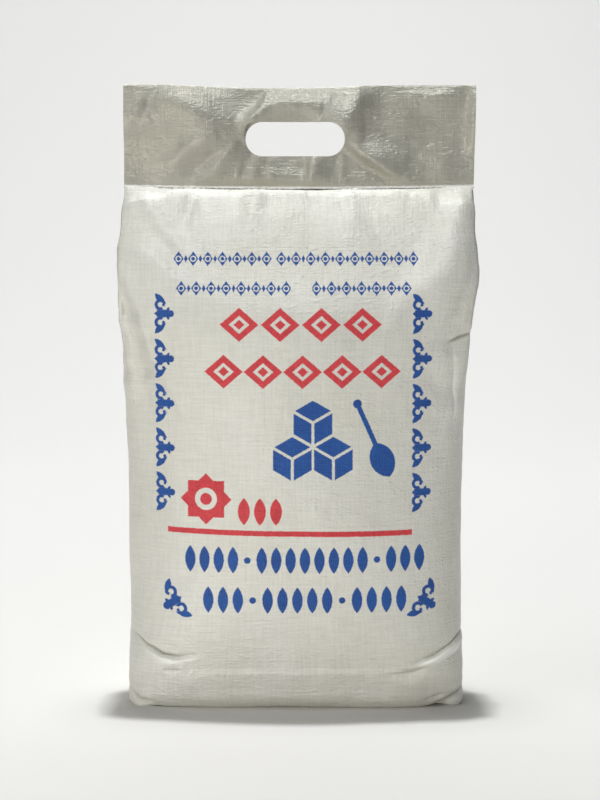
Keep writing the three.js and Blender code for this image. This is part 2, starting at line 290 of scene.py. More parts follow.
SHARP_CREASES = [
    # over the lower left corner, with a tight bead under it
    ([(-134, 58.5), (-120.7, 49.8), (-107, 43.6), (-95, 42.0), (-82, 44)], -4.2, 1.0, 2.6),
    ([(-126, 49.5), (-107, 40.2), (-95, 37.8), (-76, 41)], 2.6, 2.2, 4.0),
    ([(-106, 30.6), (-91, 30.6)], -1.4, 1.2, 2.6),
    ([(-137, 14.5), (-124, 7.5), (-112, 4.5)], -2.6, 1.3, 4.0),
    # over the lower right corner
    ([(134, 57), (120.4, 48), (108.0, 42.0), (91, 36.0)], -4.4, 1.0, 2.6),
    ([(132, 50), (120, 43.4), (107, 37.6), (92, 33.0)], 2.8, 2.2, 5.0),
    ([(75.5, 28.4), (87.3, 29.5), (98, 31.6)], -2.6, 1.2, 3.4),
    ([(104, 1.0), (114, 5.0), (122, 9.6), (134, 14.5)], -3.0, 1.4, 3.2),
    ([(99, 6.5), (115, 11.0)], -1.4, 1.1, 2.4),
    # where the gusset tucks in under the right shoulder
    ([(115, 286.5), (126, 291.0), (141, 295)], -3.6, 1.6, 3.4),
    ([(119.5, 288), (121.5, 266), (122.5, 240), (122, 214)], -1.5, 1.6, 4.0),
]


FINE_REACHES = (7, 4)
EDGE_ON = 0.05
UNDER_BELOW = 0.03
UNDER_ACROSS = (0.06, 0.12)
UNDER_PUSH = (0.0048, 0.0008)
FULL_WEAR_AND_PAINTED_LIGHT = 0.0042


def turned_about(points, outward):
    """The same points, with those of the back mirrored, so that it takes the folds of the front."""
    turned = points.copy()
    turned[:, 0] *= np.where(outward[:, 1] > 0, -1, 1)
    return turned


def refine_near(piece, lines, reach):
    """Halves the faces of both panels whose middles are within reach, in millimetres, of a line."""
    count = len(piece.data.polygons)
    middles, outward = np.empty(count * 3), np.empty(count * 3)
    piece.data.polygons.foreach_get("center", middles)
    piece.data.polygons.foreach_get("normal", outward)
    middles, outward = middles.reshape(-1, 3), outward.reshape(-1, 3)
    middles = turned_about(middles, outward)
    chosen = np.zeros(count, bool)
    for line in lines:
        chosen |= np.abs(line_reach(middles, line)[0]) < reach
    open_up(piece)
    drop_all()
    piece.data.polygons.foreach_set("select", chosen & (np.abs(outward[:, 1]) > EDGE_ON))
    bpy.ops.object.mode_set(mode="EDIT")
    bpy.ops.mesh.subdivide(number_cuts=1, smoothness=0)
    drop_all()


for reach in FINE_REACHES:
    refine_near(sack_skin, [line for line, *_ in SHARP_CREASES], reach)

plain = points_of(sack_skin)
normals = normals_of(sack_skin)
turned = turned_about(plain, normals)
# The folds end where a panel turns into a gusset, a little later on the front than on the back.
facing = np.clip(np.abs(normals[:, 1]) * 3 + np.where(normals[:, 1] < 0, 0.4, -0.3), 0, 1)
sharp = fold_heights(turned, SHARP_CREASES) * facing
raised = fold_heights(turned, BROAD_FOLDS) * facing + sharp
# The filled cloth is pressed nearly square where it turns under the sack.
under = np.clip(-2 * normals[:, 2] * np.hypot(normals[:, 0], normals[:, 1]), 0, 1)
push = np.interp(np.abs(plain[:, 0]), UNDER_ACROSS, UNDER_PUSH)
raised += under * (plain[:, 2] < UNDER_BELOW) * push
move_points(sack_skin, plain + normals * raised[:, None])
# Crease heights kept for the colour: a painted highlight with scuffing on the beads, and painted
# shade with dust in the creases.
wear_and_painted_light_layer = sack_skin.data.attributes.new("wear_and_painted_light", "FLOAT", "POINT")
wear_and_painted_light_layer.data.foreach_set("value", np.clip(sharp / FULL_WEAR_AND_PAINTED_LIGHT, -1, 1))


def smooth(value, low, high):
    t = np.clip((value - low) / (high - low), 0, 1)
    return t * t * (3 - 2 * t)


def roughen(piece, name, size, height, hard=False, way="NORMAL"):
    """Lets a cloudy texture push the surface in and out."""
    texture = bpy.data.textures.new(name, "CLOUDS")
    texture.noise_scale = size
    texture.noise_depth = 2
    texture.noise_type = "HARD_NOISE" if hard else "SOFT_NOISE"
    finish_with(
        piece, "DISPLACE", texture=texture, strength=height, mid_level=0.5,
        texture_coords="LOCAL", direction=way,
    )


roughen(sack_skin, "slack", size=0.05, height=0.0022)
roughen(sack_skin, "crinkle", size=0.016, height=0.0007, hard=True)

# The seam holds the top of the cloth still, and the corners of the base are folded to points.
HELD_FROM, HELD_AT = 0.400, 0.4062
TIP_AT = 126
TIP_REACH = 9
TIP_OUT, TIP_ALONG, TIP_DOWN = 0.0015, 0.0030, 0.0045
held = smooth(plain[:, 2], HELD_FROM, HELD_AT)[:, None]
points = points_of(sack_skin) * (1 - held) + plain * held
for tip_x in (-TIP_AT, TIP_AT):
    reach = np.hypot(points[:, 0] * 1000 - tip_x, points[:, 2] * 1000) / TIP_REACH
    tip = np.exp(-reach ** 2) * np.clip(np.abs(points[:, 1]) * 30 - 0.5, 0, 1)
    points[:, 0] += tip * TIP_OUT * np.sign(tip_x)
    points[:, 1] += tip * TIP_ALONG * np.sign(points[:, 1])
    points[:, 2] -= tip * TIP_DOWN
points[:, 2] = np.maximum(points[:, 2], 0)
move_points(sack_skin, points)
take(sack_skin)
bpy.ops.object.shade_smooth()


# ---- the woven cloth ----
# Flat tapes about a millimetre and a half wide, over and under one another, pressed together by the
# film that is laminated over them. The body and the header are cut from the same cloth.
TAPE = 0.0014
WANDER = 0.0012
CRINKLE = 0.00055
THREAD_RELIEF = 0.00028
TAPE_RELIEF = 0.00006
FILM_SHINE = 0.25
BODY_SHEEN = 0.18


class Bench:
    """Sets out the nodes of one shader tree. A value is a number or another node's socket."""

    def __init__(self, tree):
        self.tree = tree

    def feed(self, socket, value):
        if isinstance(value, bpy.types.NodeSocket):
            self.tree.links.new(value, socket)
        elif value is not None:
            socket.default_value = value

    def node(self, kind, *values, **settings):
        made = self.tree.nodes.new("ShaderNode" + kind)
        for name, value in settings.items():
            setattr(made, name, value)
        for socket, value in zip(made.inputs, values):
            self.feed(socket, value)
        return made

    def sum(self, operation, *values):
        return self.node("Math", *values, operation=operation).outputs[0]

    def blend(self, share, first, second, kind="MIX"):
        made = self.node("Mix", data_type="RGBA", blend_type=kind)
        self.feed(made.inputs[0], share)
        self.feed(made.inputs[6], first)
        self.feed(made.inputs[7], second)
        return made.outputs[2]

    def clouds(self, place, scale, detail=2.0):
        made = self.node("TexNoise")
        self.feed(made.inputs["Vector"], place)
        made.inputs["Scale"].default_value = scale
        made.inputs["Detail"].default_value = detail
        return made.outputs["Fac"]

    def between(self, value, low, high, new_low=0.0, new_high=1.0):
        made = self.node("MapRange", value, low, high, new_low, new_high)
        return made.outputs[0]


def make_tape_weave():
    """A plain weave: how high the cloth stands at a place, the tone of its tape and the gaps."""
    group = bpy.data.node_groups.new("tape_weave", "ShaderNodeTree")
    group.interface.new_socket("Cloth", in_out="INPUT", socket_type="NodeSocketVector")
    group.interface.new_socket("Tape", in_out="INPUT", socket_type="NodeSocketFloat")
    for name in ("Height", "Tone", "Gap"):
        group.interface.new_socket(name, in_out="OUTPUT", socket_type="NodeSocketFloat")
    bench = Bench(group)
    given = group.nodes.new("NodeGroupInput")
    result = group.nodes.new("NodeGroupOutput")
    across, up, _ = bench.node("SeparateXYZ", given.outputs["Cloth"]).outputs
    places = []
    for axis in (across, up):
        counted = bench.sum("DIVIDE", axis, given.outputs["Tape"])
        places.append((bench.sum("FLOOR", counted), bench.sum("FRACT", counted)))
    (warp, in_warp), (weft, in_weft) = places
    over = bench.sum("ABSOLUTE", bench.sum("MODULO", bench.sum("ADD", warp, weft), 2.0))
    swell = [bench.sum("SINE", bench.sum("MULTIPLY", part, math.pi)) for part in (in_warp, in_weft)]
    crowns = []
    for along, side in (swell, swell[::-1]):
        crowns.append(bench.sum(
            "MULTIPLY", bench.sum("POWER", along, 0.25), bench.sum("POWER", side, 0.8)
        ))
    height = bench.node("Mix", over, data_type="FLOAT")
    bench.feed(height.inputs[2], crowns[0])
    bench.feed(height.inputs[3], crowns[1])
    tones = [
        bench.node("TexWhiteNoise", noise_dimensions="1D") for _ in (warp, weft)
    ]
    bench.feed(tones[0].inputs["W"], warp)
    bench.feed(tones[1].inputs["W"], weft)
    tone = bench.node("Mix", over, data_type="FLOAT")
    bench.feed(tone.inputs[2], tones[0].outputs["Value"])
    bench.feed(tone.inputs[3], tones[1].outputs["Value"])
    gap = bench.between(height.outputs[0], 0.35, 0.0)
    bench.feed(result.inputs["Height"], height.outputs[0])
    bench.feed(result.inputs["Tone"], tone.outputs[0])
    bench.feed(result.inputs["Gap"], gap)
    return group


tape_weave = make_tape_weave()


def paint(red, green, blue):
    """A colour as seen on a screen, from 0 to 255, as the linear colour that a shader takes."""
    linear = [
        c / 12.92 if c <= 0.04045 else ((c + 0.055) / 1.055) ** 2.4
        for c in (red / 255, green / 255, blue / 255)
    ]
    return (*linear, 1.0)


def woven_finish(name, pale, dull, sheen, smoothest, roughest):
    """The laminated cloth in one colour. Returns the material, its bench and shader, and the
    colour, weave and place that more can be laid on."""
    material = bpy.data.materials.new(name)
    material.use_nodes = True
    bench = Bench(material.node_tree)
    shader = material.node_tree.nodes["Principled BSDF"]
    cloth_place = bench.node("UVMap", uv_map="cloth").outputs[0]
    place = bench.node("TexCoord").outputs["Object"]
    wander = bench.node("TexNoise")
    bench.feed(wander.inputs["Vector"], cloth_place)
    wander.inputs["Scale"].default_value = 60
    moved = bench.node("VectorMath", wander.outputs["Color"], (0.5, 0.5, 0.5), operation="SUBTRACT")
    moved = bench.node("VectorMath", moved.outputs[0], None, operation="SCALE")
    moved.inputs["Scale"].default_value = WANDER
    warped = bench.node("VectorMath", cloth_place, moved.outputs[0], operation="ADD").outputs[0]
    weave = material.node_tree.nodes.new("ShaderNodeGroup")
    weave.node_tree = tape_weave
    bench.feed(weave.inputs["Cloth"], warped)
    weave.inputs["Tape"].default_value = TAPE
    tone = bench.between(weave.outputs["Tone"], 0.0, 1.0, 0.975, 1.015)
    gap = bench.between(weave.outputs["Gap"], 0.0, 1.0, 1.0, 0.95)
    patch = bench.clouds(place, 14.0, 4.0)
    colour = bench.blend(bench.between(patch, 0.3, 0.75), pale, dull)
    shade = bench.sum("MULTIPLY", tone, gap)
    colour = bench.blend(1.0, colour, shade, "MULTIPLY")
    threads = []
    for stretch in ((40.0, 620.0, 1.0), (620.0, 40.0, 1.0)):
        drawn = bench.node("VectorMath", warped, stretch, operation="MULTIPLY").outputs[0]
        threads.append(bench.clouds(drawn, 1.0, 2.0))
    threads = bench.sum("MULTIPLY_ADD", threads[1], 0.9, threads[0])
    colour = bench.blend(1.0, colour, bench.between(threads, 0.7, 1.2, 0.94, 1.045), "MULTIPLY")
    crinkle = bench.node("TexNoise", noise_type="RIDGED_MULTIFRACTAL")
    drawn = bench.node("VectorMath", place, (0.6, 1.0, 1.35), operation="MULTIPLY").outputs[0]
    bench.feed(crinkle.inputs["Vector"], drawn)
    crinkle.inputs["Scale"].default_value = 330.0
    crinkle.inputs["Detail"].default_value = 3.0
    crinkle.inputs["Roughness"].default_value = 0.6
    height = bench.sum("MULTIPLY", crinkle.outputs["Fac"], CRINKLE)
    height = bench.sum("MULTIPLY_ADD", threads, THREAD_RELIEF, height)
    height = bench.sum("MULTIPLY_ADD", weave.outputs["Height"], TAPE_RELIEF, height)
    bump = bench.node("Bump")
    bump.inputs["Strength"].default_value = 1.0
    bump.inputs["Distance"].default_value = 1.0
    bench.feed(bump.inputs["Height"], height)
    bench.feed(shader.inputs["Normal"], bump.outputs[0])
    bench.feed(shader.inputs["Roughness"], bench.between(
        weave.outputs["Tone"], 0.0, 1.0, smoothest, roughest
    ))
    shader.inputs["Metallic"].default_value = sheen
    shader.inputs["Specular IOR Level"].default_value = FILM_SHINE
    bench.feed(shader.inputs["Base Color"], colour)
    return material, bench, shader, colour, weave, place


filled, bench, shader, colour, weave, place = woven_finish(
    "filled_weave", paint(231, 230, 223), paint(223, 221, 210), BODY_SHEEN, 0.42, 0.58
)


# ---- the print ----
# Two inks, blue and red, laid flat on the front before the film: simple shapes in rows, sugar cubes
# with a spoon, and a scroll that repeats down both sides. Millimetres from here on.
class Stencil:
    """Draws flat shapes with nodes. A shape is a distance in millimetres, negative inside it."""

    def __init__(self, bench):
        self.do = bench.sum

    def shift(self, spot, x, z):
        return self.do("SUBTRACT", spot[0], x), self.do("SUBTRACT", spot[1], z)

    def turn(self, spot, degrees):
        c, s = math.cos(math.radians(degrees)), math.sin(math.radians(degrees))
        x = self.do("MULTIPLY_ADD", spot[0], c, self.do("MULTIPLY", spot[1], s))
        z = self.do("MULTIPLY_ADD", spot[1], c, self.do("MULTIPLY", spot[0], -s))
        return x, z

    def mirror(self, spot, across=True, up=True):
        x = self.do("ABSOLUTE", spot[0]) if across else spot[0]
        z = self.do("ABSOLUTE", spot[1]) if up else spot[1]
        return x, z

    def disc(self, spot, radius):
        square = self.do("MULTIPLY_ADD", spot[1], spot[1], self.do("MULTIPLY", spot[0], spot[0]))
        return self.do("SUBTRACT", self.do("SQRT", square), radius)

    def rim(self, shape, half):
        return self.do("SUBTRACT", self.do("ABSOLUTE", shape), half)

    def block(self, spot, half_width, half_height):
        x, z = self.mirror(spot)
        return self.do(
            "MAXIMUM", self.do("SUBTRACT", x, half_width), self.do("SUBTRACT", z, half_height)
        )

    def lozenge(self, spot, half_width, half_height):
        x, z = self.mirror(spot)
        side = math.hypot(half_width, half_height)
        along = self.do("MULTIPLY", x, half_height / side)
        out = self.do("MULTIPLY_ADD", z, half_width / side, along)
        return self.do("SUBTRACT", out, half_width * half_height / side)

    def leaf(self, spot, half_width, half_height):
        radius = (half_height ** 2 + half_width ** 2) / (2 * half_width)
        x, z = self.mirror(spot)
        return self.disc((self.do("ADD", x, radius - half_width), z), radius)

    def hexagon(self, spot, radius):
        x, z = self.mirror(spot)
        slant = self.do("MULTIPLY_ADD", z, math.cos(math.pi / 6), self.do("MULTIPLY", x, 0.5))
        return self.do("SUBTRACT", self.do("MAXIMUM", x, slant), radius * math.cos(math.pi / 6))

    def join(self, *shapes):
        whole = shapes[0]
        for shape in shapes[1:]:
            whole = self.do("MINIMUM", whole, shape)
        return whole

    def cut(self, shape, *holes):
        for hole in holes:
            shape = self.do("MAXIMUM", shape, self.do("MULTIPLY", hole, -1.0))
        return shape

    def row(self, value, first, pitch, count):
        """Folds one coordinate, so that a shape repeats count times, a pitch apart."""
        past = self.do("SUBTRACT", value, first)
        step = self.do("ROUND", self.do("DIVIDE", past, pitch))
        step = self.do("MINIMUM", self.do("MAXIMUM", step, 0.0), count - 1.0)
        return self.do("SUBTRACT", past, self.do("MULTIPLY", step, pitch))


stencil = Stencil(bench)
east, south, up = bench.node("SeparateXYZ", place).outputs
sheet = (bench.sum("MULTIPLY", east, 1000.0), bench.sum("MULTIPLY", up, 1000.0))


def bead_band(sheet, left, right, middle, pitch, gap_at, gap_half):
    """A fine band of lozenges with a dot between each two, and one gap in it."""
    count = int((right - left) / pitch) + 1
    level = stencil.do("SUBTRACT", sheet[1], middle)
    spot = (stencil.row(sheet[0], left, pitch, count), level)
    ring = stencil.rim(stencil.disc(spot, 1.9), 0.45)
    lozenges = stencil.cut(stencil.lozenge(spot, 4.0, 5.6), ring)
    spot = (stencil.row(sheet[0], left + pitch / 2, pitch, count - 1), level)
    dots = stencil.lozenge(spot, 1.5, 2.8)
    hole = stencil.block(stencil.shift(sheet, gap_at, middle), gap_half, 9)
    return stencil.cut(stencil.join(lozenges, dots), hole)


def leaf_band(sheet, left, middle, pitch, count, gaps):
    """A bold band of upright leaves. Round beads stand in its gaps."""
    level = stencil.do("SUBTRACT", sheet[1], middle)
    band = stencil.leaf((stencil.row(sheet[0], left, pitch, count), level), 4.1, 10.4)
    for step in gaps:
        spot = stencil.shift(sheet, left + step * pitch, middle)
        band = stencil.cut(band, stencil.block(spot, pitch / 2, 14))
        band = stencil.join(band, stencil.disc(spot, 2.6))
    return band


def sugar_cube(spot, radius):
    """A cube seen from a corner: three faces with bare lines between them."""
    line = 1.1
    folded = stencil.mirror(spot, up=False)
    climb = stencil.turn(folded, 30)
    upper = stencil.block(stencil.shift(climb, radius, 0), radius, line)
    lower = stencil.block(stencil.shift(spot, 0, -radius), line, radius)
    return stencil.cut(stencil.hexagon(spot, radius), upper, lower)


def scroll(spot):
    """A pair of leaves whose tails curl in, with a three-lobed bud between them."""
    half = stencil.mirror(spot, across=False)
    eye = stencil.shift(half, 4.9, 6.8)
    leaf = stencil.leaf(stencil.turn(stencil.shift(half, 4.7, 11.2), 44), 2.4, 5.8)
    curl = stencil.cut(
        stencil.join(stencil.disc(eye, 4.5), leaf),
        stencil.disc(eye, 2.0), stencil.disc(stencil.shift(half, 8.3, 5.2), 2.1),
    )
    end = stencil.disc(stencil.shift(half, 7.5, 6.7), 1.2)
    bud = stencil.block(stencil.shift(half, 7.0, 0), 4.8, 2.8)
    thorn = stencil.lozenge(stencil.shift(half, 2.0, 0), 1.8, 1.7)
    lobe = stencil.disc(stencil.shift(half, 13.0, 0), 2.7)
    wing = stencil.leaf(stencil.turn(stencil.shift(half, 10.9, 2.7), -20), 1.2, 2.3)
    return stencil.join(curl, end, bud, thorn, lobe, wing)


bands = stencil.join(
    bead_band(sheet, -93, 89.5, 351.5, 11.4, -18.9, 1.65),
    bead_band(sheet, -90.5, 83.5, 329.0, 11.6, 2.4, 8.4),
)
leaves = stencil.join(
    leaf_band(sheet, -84, 119.5, 11.15, 17, (4, 13)),
    leaf_band(sheet, -70, 88.0, 11.55, 14, (3, 9)),
)
cubes = stencil.join(
    sugar_cube(stencil.shift(sheet, -4.6, 198.5), 17.2),
    sugar_cube(stencil.shift(sheet, 27.0, 198.5), 17.2),
    sugar_cube(stencil.shift(sheet, 11.2, 226.5), 17.2),
)
spoon_spot = stencil.turn(stencil.shift(sheet, 65.0, 197.0), 24)
bowl = stencil.leaf(spoon_spot, 9.5, 14.5)
handle = stencil.block(stencil.shift(spoon_spot, 0, 29), 1.9, 19)
knob = stencil.disc(stencil.shift(spoon_spot, 0, 48), 3.4)

# Five scrolls climb each side. One more, larger and turned, stands in each lower corner.
COLUMN_LEFT, COLUMN_APART = -111.6, 199.4
COLUMN_FOOT, COLUMN_PITCH, COLUMN_COUNT = 170.4, 34.8, 5
CORNERS_BELOW = 120.0
CORNERS_MIDDLE, CORNER_OUT, CORNER_UP = 1.0, 93.2, 88.2
CORNER_TURN, CORNER_GROWTH, CORNER_SLIDE = -33.5, 1.09, 1.3
on_right = stencil.do("GREATER_THAN", sheet[0], 0.0)
column_at = stencil.do("MULTIPLY_ADD", on_right, COLUMN_APART, COLUMN_LEFT)
column = (
    stencil.do("SUBTRACT", sheet[0], column_at),
    stencil.row(sheet[1], COLUMN_FOOT, COLUMN_PITCH, COLUMN_COUNT),
)
corner = stencil.mirror(stencil.shift(sheet, CORNERS_MIDDLE, CORNER_UP), up=False)
corner = stencil.turn(stencil.shift(corner, CORNER_OUT, 0.0), CORNER_TURN)
corner = (
    stencil.do("MULTIPLY_ADD", corner[0], 1 / CORNER_GROWTH, CORNER_SLIDE),
    stencil.do("MULTIPLY", corner[1], 1 / CORNER_GROWTH),
)
below = stencil.do("LESS_THAN", sheet[1], CORNERS_BELOW)
spot = tuple(
    stencil.do("MULTIPLY_ADD", stencil.do("SUBTRACT", low, high), below, high)
    for low, high in zip(corner, column)
)
blue_shapes = stencil.join(bands, leaves, cubes, bowl, handle, knob, scroll(spot))


def kilim_row(sheet, left, middle, pitch, count):
    """Bold lozenge frames, each round a small solid one."""
    spot = (stencil.row(sheet[0], left, pitch, count), stencil.do("SUBTRACT", sheet[1], middle))
    frame_shape = stencil.rim(stencil.lozenge(spot, 11.4, 9.9), 2.3)
    return stencil.join(frame_shape, stencil.lozenge(spot, 4.2, 3.8))


star_spot = stencil.shift(sheet, -71.5, 166.5)
star = stencil.join(
    stencil.block(star_spot, 14.2, 14.2), stencil.lozenge(star_spot, 20.0, 20.0)
)
star = stencil.join(
    stencil.cut(star, stencil.disc(star_spot, 8.6)), stencil.disc(star_spot, 4.6)
)
grains = stencil.leaf(
    (stencil.row(sheet[0], -42.0, 12.4, 3), stencil.do("SUBTRACT", sheet[1], 157.5)), 4.6, 10.5
)
rule = stencil.block(stencil.turn(stencil.shift(sheet, -6.6, 140.4), -0.6), 95.2, 2.1)
red_shapes = stencil.join(
    kilim_row(sheet, -45.5, 301.6, 31.6, 4), kilim_row(sheet, -57.5, 265.6, 30.4, 5),
    star, grains, rule,
)

ragged = stencil.do("MULTIPLY", stencil.do("SUBTRACT", bench.clouds(place, 700.0), 0.5), 0.9)
on_front = stencil.do("LESS_THAN", south, 0.0)
speckle = bench.between(bench.clouds(place, 420.0, 3.0), 0.3, 0.7, 0.84, 1.12)
opaque = bench.between(weave.outputs["Gap"], 0.0, 1.0, 0.99, 0.86)
inked = 0.0
for shapes, pale_ink, deep_ink in (
    (blue_shapes, paint(26, 92, 172), paint(14, 64, 142)),
    (red_shapes, paint(224, 72, 80), paint(204, 50, 60)),
):
    edge = stencil.do("ADD", shapes, ragged)
    covered = bench.between(edge, 0.28, -0.28)
    covered = stencil.do("MULTIPLY", covered, on_front)
    covered = stencil.do("MULTIPLY", covered, opaque)
    ink = bench.blend(bench.clouds(place, 24.0), deep_ink, pale_ink)
    ink = bench.blend(1.0, ink, speckle, "MULTIPLY")
    colour = bench.blend(covered, colour, ink)
    inked = stencil.do("MAXIMUM", inked, covered)
# The film is scuffed white along the tight beads, which also serves as their painted highlight, and
# the creases beside them are darkened with painted shade and dust.
wear_and_painted_light = bench.node("Attribute", attribute_name="wear_and_painted_light").outputs["Fac"]
# Painted highlight and scuffing along the beads.
colour = bench.blend(bench.between(wear_and_painted_light, 0.10, 0.38, 0.0, 0.8), colour, paint(255, 254, 248))
# Painted shade and dust in the creases.
colour = bench.blend(bench.between(wear_and_painted_light, -0.36, -0.9, 0.0, 0.55), colour, paint(120, 116, 100))
bench.feed(shader.inputs["Base Color"], colour)
# The ink is dull beside the film.
bench.feed(shader.inputs["Metallic"], bench.between(inked, 0.0, 1.0, BODY_SHEEN, 0.0))

sack_skin.data.materials.append(filled)
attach(sack_skin, "root")
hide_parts("sack_body")


# ---- the header ----
# The tube's empty mouth is folded forward over itself and welded. One sheet runs up the front from
# its ragged cut edge, round the soft top fold and down the back to the seam.
HEADER_COLUMNS = 160
HEADER_ROWS = 124
SEAM = 0.408
SEAM_SAG = 0.0016
SAG_HALF = 0.14
HALF_SEAM = 0.1394
FLARE = 0.0016
CENTRE = 0.0004
TOP = 0.488
TOP_DIP, DIP_AT, DIP_REACH = 0.0024, -0.016, 0.062
FACE_RISE = 0.0795
ROLL = 0.0011
SEAM_HALF = 0.0027
PRESSED_TO = 0.424
FRONT_LAP, BACK_LAP = 0.0016, 0.0010
MIDDLE = 0.0097
LIP = 0.0006
TEAR = 0.0005
THICKNESS = 0.00035
SLOT_AT = (-0.0026, MIDDLE, 0.445)
SLOT_SIZE = (0.079, 0.06, 0.027)
SLOT_ROUND = 0.01349

bpy.ops.object.select_all(action="DESELECT")
bpy.ops.mesh.primitive_grid_add(
    x_subdivisions=HEADER_COLUMNS, y_subdivisions=HEADER_ROWS, size=1, calc_uvs=True
)
header = bpy.context.object
header.name = "header_sheet"
header.data.uv_layers[0].name = "cloth"


def seam_height(x):
    return SEAM - SEAM_SAG * (1 - (x / SAG_HALF) ** 2)


def top_height(x):
    return TOP - TOP_DIP * np.exp(-(((x - DIP_AT) / DIP_REACH) ** 4))


grid = points_of(header)
span = grid[:, 0]
run = grid[:, 1] + 0.5
path = 2 * FACE_RISE + math.pi * ROLL
walked = run * path
rise = np.where(run < 0.5, walked, path - walked)
share = np.clip(rise / FACE_RISE, 0, 1)
x = CENTRE + span * 2 * HALF_SEAM + FLARE * share * (span + 0.5)
low = seam_height(x) - np.where(run < 0.5, FRONT_LAP, BACK_LAP)
z = low + (top_height(x) - ROLL - low) * share
half = SEAM_HALF + (ROLL - SEAM_HALF) * smooth(z, SEAM, PRESSED_TO)
over_top = np.clip((walked - FACE_RISE) / (math.pi * ROLL), 0, 1) * math.pi
y = MIDDLE - half * np.cos(over_top)
z = z + ROLL * np.sin(over_top)
cut_edge = run < 0.5 / HEADER_ROWS
torn = np.random.default_rng(4).uniform(-1, 1, len(z))
z = z + np.where(cut_edge, TEAR * torn, 0)
y = y - np.where(cut_edge, LIP, 0)
move_points(header, np.stack([x, y, z], axis=1))

flat_place = np.empty(len(header.data.loops) * 2)
header.data.uv_layers["cloth"].data.foreach_get("uv", flat_place)
flat_place = flat_place.reshape(-1, 2) * (2 * HALF_SEAM, path)
header.data.uv_layers["cloth"].data.foreach_set("uv", flat_place.ravel())
finish_with(header, "SOLIDIFY", thickness=THICKNESS, offset=-1.0)

# The hand slot is punched through both layers with a long die with round ends.
drop_all()
bpy.ops.mesh.primitive_cube_add(size=1, location=SLOT_AT, scale=SLOT_SIZE)
punch = bpy.context.object
bpy.ops.object.transform_apply(location=True, rotation=True, scale=True)
open_up(punch)
pick(punch, "EDGE", lambda e: abs(e.verts[0].co.y - e.verts[1].co.y) > 0.05)
bpy.ops.mesh.bevel(offset=SLOT_ROUND, segments=14)
drop_all()
finish_with(header, "BOOLEAN", object=punch, operation="DIFFERENCE", solver="EXACT")
bpy.data.objects.remove(punch)

# Handling has buckled the empty cloth. Both layers buckle together, except where the front one
# curls away from the upper left of the slot.
HEADER_FOLDS = [
    # a broad diagonal from the top edge to the slot's left end
    ([(-116, 482), (-86, 466), (-42, 443)], 13.0, 21, 26),
    # the strip over the slot stands forward in a crest
    ([(-40, 455), (-30, 464), (-15, 471.6), (4, 472.6), (22, 471)], 8.0, 9, 12),
    ([(-38, 457), (-31, 468), (-21, 488)], 3.0, 2.6, 8),
    # the upright crest that ends at the right of the slot, and the bulge that it stands on
    ([(32, 440), (37, 456), (46, 472), (48, 496)], 10.0, 24, 12),
    ([(16, 458), (32, 452), (54, 452)], 7.0, 24, 8),
    # a low roll along the seam, and folds that fan out below the slot
    ([(-84, 410), (-30, 414), (24, 410)], 3.4, 15, 6),
    ([(-44, 443), (-64, 425), (-84, 406)], 6.0, 11, 5),
    ([(-43, 434), (-48, 420), (-51, 404)], 1.4, 2.2, 4),
    ([(-60, 446), (-86, 438), (-104, 420)], 5.5, 10, 9),
    ([(-30, 434), (-36, 420), (-38, 404)], 2.2, 6, 5),
    ([(-20, 432), (-22, 404)], 1.0, 4, 6),
    ([(13, 436), (11, 420), (7, 402)], 6.0, 12, 4),
    ([(35.6, 434), (36.4, 402)], 1.2, 2.0, 4),
    ([(37, 443), (55, 431), (82, 414)], 9.0, 16, 4),
    ([(86, 436), (85.5, 402)], 1.0, 3, 6),
    # slack at the top edge and down the sides
    ([(86, 482), (108, 478), (132, 484)], 3.6, 8, 14),
    ([(141, 490), (139, 455), (138, 430)], 4.5, 14, 4),
    ([(-146, 452), (-134, 458), (-116, 464)], 4.0, 16, 12),
    ([(84, 490), (81, 440)], 2.0, 12, 16),
    ([(-118, 440), (-106, 424), (-100, 404)], 2.0, 12, 12),
    ([(104, 442), (116, 428), (122, 404)], 2.0, 14, 12),
]
CURL_AT = (-0.0365, 0.4545)
CURL_REACH = 0.010
CURL = (-0.0022, -0.0056, 0.0016)
LOOSE_FROM, LOOSE_AT = 0.405, 0.416
STIFF_FROM, STIFFNESS = 0.478, 0.55
BACK_SHARE = 0.85
BOW = 0.0024

points = points_of(header)
front = points[:, 1] < MIDDLE
loose = smooth(points[:, 2], LOOSE_FROM, LOOSE_AT)
loose = loose * (1 - STIFFNESS * smooth(points[:, 2], STIFF_FROM, TOP))
buckle = fold_heights(points, HEADER_FOLDS) * loose
buckle = np.where(front, buckle, BACK_SHARE * buckle)
bow = BOW * np.sin((points[:, 0] * 1000 + 30) / 62) * smooth(points[:, 2], SEAM, TOP)
points[:, 1] += bow - buckle
near = np.hypot(points[:, 0] - CURL_AT[0], points[:, 2] - CURL_AT[1]) / CURL_REACH
points += np.outer(np.exp(-near ** 2) * front, CURL)
move_points(header, points)
roughen(header, "header_slack", size=0.045, height=0.0022, way="Y")
roughen(header, "header_crinkle", size=0.011, height=0.0005, hard=True, way="Y")
free = smooth(points[:, 2], 0.406, 0.414)[:, None]
move_points(header, points_of(header) * free + points * (1 - free))
take(header)
bpy.ops.object.shade_smooth_by_angle(angle=math.radians(50))

HEADER_SHEEN = 0.40
empty, header_bench, header_shader, header_colour, _, header_place = woven_finish(
    "header_weave", paint(192, 190, 179), paint(184, 181, 168), HEADER_SHEEN, 0.34, 0.46
)
# The weld along the cut edge is pressed white, and a painted shadow darkens the lowest millimetre
# of the edge.
FRAY = 0.0008
header_cloth = header_bench.node("UVMap", uv_map="cloth").outputs[0]
up_cloth = header_bench.node("SeparateXYZ", header_cloth).outputs[1]
fray = header_bench.clouds(header_place, 500.0)
fray = header_bench.sum("MULTIPLY_ADD", fray, FRAY, up_cloth)
weld_foot = header_bench.between(fray, 0.0012, 0.0015)
weld_top = header_bench.between(fray, 0.0032, 0.0028)
weld = header_bench.sum("MULTIPLY", weld_foot, weld_top)
